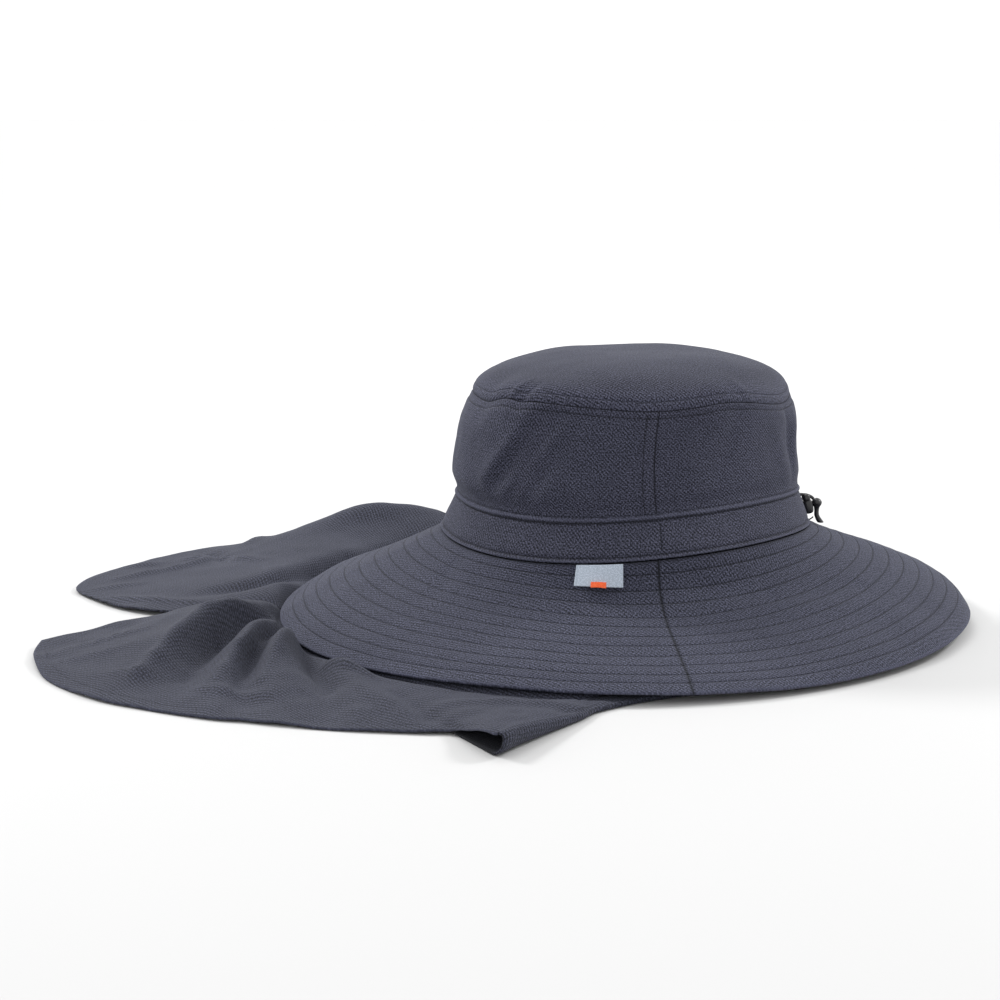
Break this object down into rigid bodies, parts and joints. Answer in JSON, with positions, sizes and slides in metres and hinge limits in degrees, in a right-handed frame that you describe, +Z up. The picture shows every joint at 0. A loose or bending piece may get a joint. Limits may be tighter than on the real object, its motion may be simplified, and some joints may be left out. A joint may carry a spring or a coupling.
{
  "type": "flap sun hat",
  "caption": "Soft bucket crown with a band, a wide stitched brim and a neck flap whose two wings spread out in front, with a cord lock at the back.",
  "frame": {"origin": "middle of the floor plan of the whole hat with its wings, on the surface it lies on", "axes": "+X to the back of the hat, -X to the wings and the front, -Y to the side with the label, +Z up"},
  "size_m": [0.5192, 0.4858, 0.1506],
  "materials": {
    "crown_cloth": "matt twill",
    "brim_cloth": "matt stitched twill",
    "flap_cloth": "matt twill",
    "label_tape": "woven tape",
    "tab_tape": "woven tape",
    "black_plastic": "moulded",
    "black_cord": "round elastic cord"
  },
  "bodies": {
    "root": {"crown_tip": "crown_cloth", "side_panel_front": "crown_cloth", "side_panel_back": "crown_cloth", "hat_band": "crown_cloth", "brim_front": "brim_cloth", "brim_back": "brim_cloth", "neck_flap": "flap_cloth", "side_label": "label_tape", "label_tab": "tab_tape", "cord_lock": "black_plastic", "cord_end": "black_plastic", "draw_cord": "black_cord", "cord_tail": "black_cord"}
  },
  "joints": []
}
